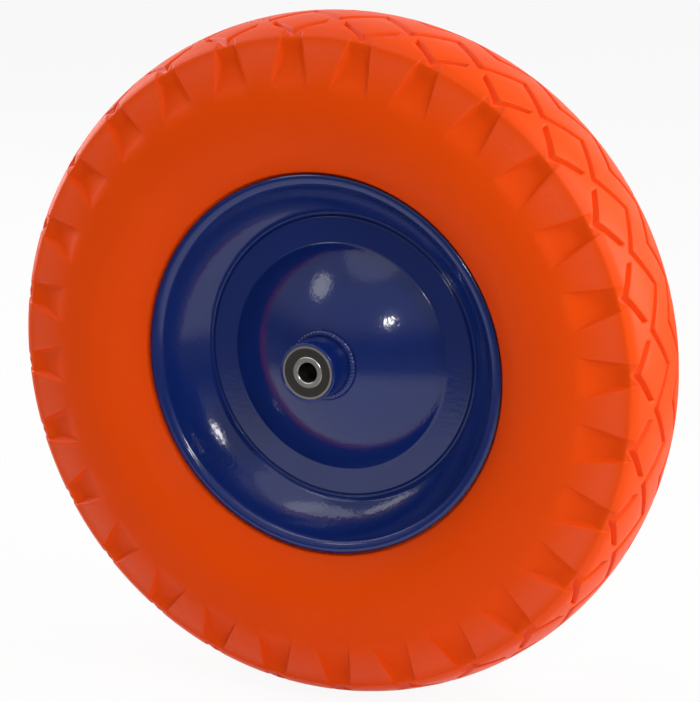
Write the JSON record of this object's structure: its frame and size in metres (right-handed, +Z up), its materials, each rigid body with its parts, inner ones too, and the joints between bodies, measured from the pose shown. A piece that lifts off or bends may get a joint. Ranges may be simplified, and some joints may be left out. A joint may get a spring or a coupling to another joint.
{
  "type": "flat-free wheel",
  "caption": "Solid foam barrow wheel with a zigzag tread on a dished two-piece steel rim and a sealed ball bearing in each end of its hub.",
  "frame": {"origin": "centre of the wheel, on the axle line midway between the two bearings", "axes": "+Y along the axle, from the pictured front face to the back; +Z up; the front faces -Y"},
  "size_m": [0.406, 0.098, 0.406],
  "materials": {
    "orange_foam": "satin moulded foam skin",
    "blue_painted_steel": "gloss",
    "zinc_plated_steel": "satin",
    "ground_bearing_steel": "ground",
    "black_seal_rubber": "matte",
    "pressed_cage_steel": "pressed",
    "polished_ball_steel": "polished"
  },
  "bodies": {
    "axle_side": {"front_inner_ring": "ground_bearing_steel", "back_inner_ring": "ground_bearing_steel", "bearing_spacer": "zinc_plated_steel"},
    "wheel": {"foam_tyre": "orange_foam", "front_rim_half": "blue_painted_steel", "back_rim_half": "blue_painted_steel", "hub_tube": "blue_painted_steel", "front_hub_weld": "blue_painted_steel", "back_hub_weld": "blue_painted_steel", "front_outer_ring": "ground_bearing_steel", "back_outer_ring": "ground_bearing_steel", "front_outboard_seal": "black_seal_rubber", "front_inboard_seal": "black_seal_rubber", "back_outboard_seal": "black_seal_rubber", "back_inboard_seal": "black_seal_rubber"},
    "front_cage": {"front_outboard_cage": "pressed_cage_steel", "front_inboard_cage": "pressed_cage_steel", "front_cage_rivets": "pressed_cage_steel"},
    "front_ball_1": {"front_ball_1": "polished_ball_steel"},
    "front_ball_2": {"front_ball_2": "polished_ball_steel"},
    "front_ball_3": {"front_ball_3": "polished_ball_steel"},
    "front_ball_4": {"front_ball_4": "polished_ball_steel"},
    "front_ball_5": {"front_ball_5": "polished_ball_steel"},
    "front_ball_6": {"front_ball_6": "polished_ball_steel"},
    "front_ball_7": {"front_ball_7": "polished_ball_steel"},
    "back_cage": {"back_outboard_cage": "pressed_cage_steel", "back_inboard_cage": "pressed_cage_steel", "back_cage_rivets": "pressed_cage_steel"},
    "back_ball_1": {"back_ball_1": "polished_ball_steel"},
    "back_ball_2": {"back_ball_2": "polished_ball_steel"},
    "back_ball_3": {"back_ball_3": "polished_ball_steel"},
    "back_ball_4": {"back_ball_4": "polished_ball_steel"},
    "back_ball_5": {"back_ball_5": "polished_ball_steel"},
    "back_ball_6": {"back_ball_6": "polished_ball_steel"},
    "back_ball_7": {"back_ball_7": "polished_ball_steel"}
  },
  "joints": [
    {"name": "wheel_spin", "type": "hinge", "parent": "axle_side", "child": "wheel", "pos_m": [0, 0, 0], "axis": [0, 1, 0], "continuous": true},
    {"name": "front_cage_spin", "type": "hinge", "parent": "axle_side", "child": "front_cage", "pos_m": [0, -0.0436, 0], "axis": [0, 1, 0], "continuous": true},
    {"name": "front_ball_1_roll", "type": "hinge", "parent": "front_cage", "child": "front_ball_1", "pos_m": [0, -0.0436, 0.011], "axis": [0, 1, 0], "continuous": true},
    {"name": "front_ball_2_roll", "type": "hinge", "parent": "front_cage", "child": "front_ball_2", "pos_m": [0.0086, -0.0436, 0.00686], "axis": [0, 1, 0], "continuous": true},
    {"name": "front_ball_3_roll", "type": "hinge", "parent": "front_cage", "child": "front_ball_3", "pos_m": [0.01072, -0.0436, -0.00245], "axis": [0, 1, 0], "continuous": true},
    {"name": "front_ball_4_roll", "type": "hinge", "parent": "front_cage", "child": "front_ball_4", "pos_m": [0.00477, -0.0436, -0.00991], "axis": [0, 1, 0], "continuous": true},
    {"name": "front_ball_5_roll", "type": "hinge", "parent": "front_cage", "child": "front_ball_5", "pos_m": [-0.00477, -0.0436, -0.00991], "axis": [0, 1, 0], "continuous": true},
    {"name": "front_ball_6_roll", "type": "hinge", "parent": "front_cage", "child": "front_ball_6", "pos_m": [-0.01072, -0.0436, -0.00245], "axis": [0, 1, 0], "continuous": true},
    {"name": "front_ball_7_roll", "type": "hinge", "parent": "front_cage", "child": "front_ball_7", "pos_m": [-0.0086, -0.0436, 0.00686], "axis": [0, 1, 0], "continuous": true},
    {"name": "back_cage_spin", "type": "hinge", "parent": "axle_side", "child": "back_cage", "pos_m": [0, 0.0436, 0], "axis": [0, 1, 0], "continuous": true},
    {"name": "back_ball_1_roll", "type": "hinge", "parent": "back_cage", "child": "back_ball_1", "pos_m": [0, 0.0436, 0.011], "axis": [0, 1, 0], "continuous": true},
    {"name": "back_ball_2_roll", "type": "hinge", "parent": "back_cage", "child": "back_ball_2", "pos_m": [0.0086, 0.0436, 0.00686], "axis": [0, 1, 0], "continuous": true},
    {"name": "back_ball_3_roll", "type": "hinge", "parent": "back_cage", "child": "back_ball_3", "pos_m": [0.01072, 0.0436, -0.00245], "axis": [0, 1, 0], "continuous": true},
    {"name": "back_ball_4_roll", "type": "hinge", "parent": "back_cage", "child": "back_ball_4", "pos_m": [0.00477, 0.0436, -0.00991], "axis": [0, 1, 0], "continuous": true},
    {"name": "back_ball_5_roll", "type": "hinge", "parent": "back_cage", "child": "back_ball_5", "pos_m": [-0.00477, 0.0436, -0.00991], "axis": [0, 1, 0], "continuous": true},
    {"name": "back_ball_6_roll", "type": "hinge", "parent": "back_cage", "child": "back_ball_6", "pos_m": [-0.01072, 0.0436, -0.00245], "axis": [0, 1, 0], "continuous": true},
    {"name": "back_ball_7_roll", "type": "hinge", "parent": "back_cage", "child": "back_ball_7", "pos_m": [-0.0086, 0.0436, 0.00686], "axis": [0, 1, 0], "continuous": true}
  ],
  "couplings": [
    {"joint": "front_cage_spin", "follows": "wheel_spin", "ratio": 0.6353},
    {"joint": "front_ball_1_roll", "follows": "wheel_spin", "ratio": 1.7125},
    {"joint": "front_ball_2_roll", "follows": "wheel_spin", "ratio": 1.7125},
    {"joint": "front_ball_3_roll", "follows": "wheel_spin", "ratio": 1.7125},
    {"joint": "front_ball_4_roll", "follows": "wheel_spin", "ratio": 1.7125},
    {"joint": "front_ball_5_roll", "follows": "wheel_spin", "ratio": 1.7125},
    {"joint": "front_ball_6_roll", "follows": "wheel_spin", "ratio": 1.7125},
    {"joint": "front_ball_7_roll", "follows": "wheel_spin", "ratio": 1.7125},
    {"joint": "back_cage_spin", "follows": "wheel_spin", "ratio": 0.6353},
    {"joint": "back_ball_1_roll", "follows": "wheel_spin", "ratio": 1.7125},
    {"joint": "back_ball_2_roll", "follows": "wheel_spin", "ratio": 1.7125},
    {"joint": "back_ball_3_roll", "follows": "wheel_spin", "ratio": 1.7125},
    {"joint": "back_ball_4_roll", "follows": "wheel_spin", "ratio": 1.7125},
    {"joint": "back_ball_5_roll", "follows": "wheel_spin", "ratio": 1.7125},
    {"joint": "back_ball_6_roll", "follows": "wheel_spin", "ratio": 1.7125},
    {"joint": "back_ball_7_roll", "follows": "wheel_spin", "ratio": 1.7125}
  ]
}
